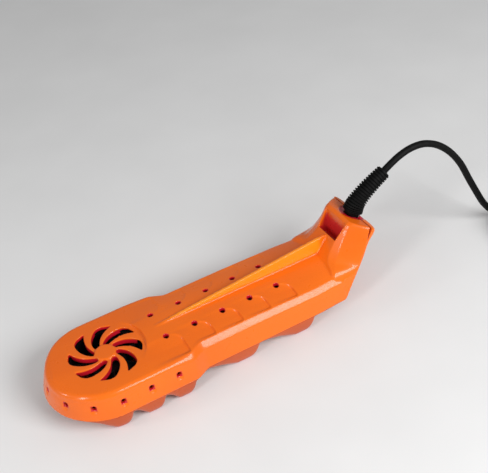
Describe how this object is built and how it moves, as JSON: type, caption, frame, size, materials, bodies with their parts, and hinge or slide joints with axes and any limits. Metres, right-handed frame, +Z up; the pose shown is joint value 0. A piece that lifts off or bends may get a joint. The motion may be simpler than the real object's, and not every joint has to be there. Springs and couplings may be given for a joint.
{
  "type": "boot dryer",
  "caption": "Slim heated boot dryer: an orange plastic insert with a fan grille at the toe, a waved sole, a raised neck and a low-voltage cord with a plug.",
  "frame": {"origin": "on the surface the unit rests on, under the middle of the housing's bounding box (the free cord, its strain relief, coil and plug left out)", "axes": "+X from the rounded toe towards the neck at the heel, +Z up out of the grille's face, +Y to the left when looking towards the heel"},
  "size_m": [0.3486, 0.1139, 0.0749],
  "materials": {
    "orange_plastic": "glossy moulded ABS, orange",
    "orange_plastic_lower": "glossy moulded ABS, orange, slightly deeper",
    "black_rubber": "soft black PVC, satin",
    "black_plastic": "black glass-filled nylon",
    "grey_foam": "dark grey foam or hook-and-loop strap",
    "zinc_steel": "zinc-plated steel",
    "ferrite": "plastic-bonded ferrite, dark grey",
    "sintered_bronze": "sintered bronze",
    "enamelled_copper": "enamelled copper winding",
    "green_laminate": "green glass-epoxy laminate",
    "aluminium": "plain aluminium fins",
    "ceramic": "off-white heating ceramic",
    "mica_board": "tan mica board",
    "white_nylon": "white nylon",
    "red_insulation": "red wire insulation",
    "nickel_plate": "nickel plate"
  },
  "bodies": {
    "housing": {"upper_housing": "orange_plastic", "lower_housing": "orange_plastic_lower", "housing_screw_1": "zinc_steel", "housing_screw_2": "zinc_steel", "housing_screw_3": "zinc_steel", "housing_screw_4": "zinc_steel", "housing_screw_5": "zinc_steel", "fan_gasket": "grey_foam", "fan_frame": "black_plastic", "fan_screw_1": "zinc_steel", "fan_screw_2": "zinc_steel", "fan_bearing": "sintered_bronze", "fan_stator": "enamelled_copper", "fan_board": "green_laminate", "heater_frame": "mica_board", "heater_element": "ceramic", "heater_fins_lower": "aluminium", "heater_fins_upper": "aluminium", "thermal_cutout": "white_nylon", "circuit_board": "green_laminate", "board_screw_1": "zinc_steel", "board_screw_2": "zinc_steel", "capacitor": "black_plastic", "regulator": "black_plastic", "fan_plug": "white_nylon", "supply_lead_red": "red_insulation", "supply_lead_black": "black_rubber", "fan_lead_red": "red_insulation", "fan_lead_black": "black_rubber", "heater_lead_red": "red_insulation", "heater_lead_black": "black_rubber", "strain_relief": "black_rubber", "cord": "black_rubber", "cord_coil": "black_rubber", "coil_tie": "grey_foam", "plug_body": "black_rubber", "plug_barrel": "nickel_plate", "plug_insert": "black_plastic"},
    "rotor": {"fan_impeller": "black_plastic", "rotor_magnet": "ferrite", "fan_shaft": "zinc_steel"}
  },
  "joints": [
    {"name": "fan_spin", "type": "hinge", "parent": "housing", "child": "rotor", "pos_m": [-0.06565, 0, 0.0175], "axis": [0, 0, 1], "continuous": true}
  ]
}
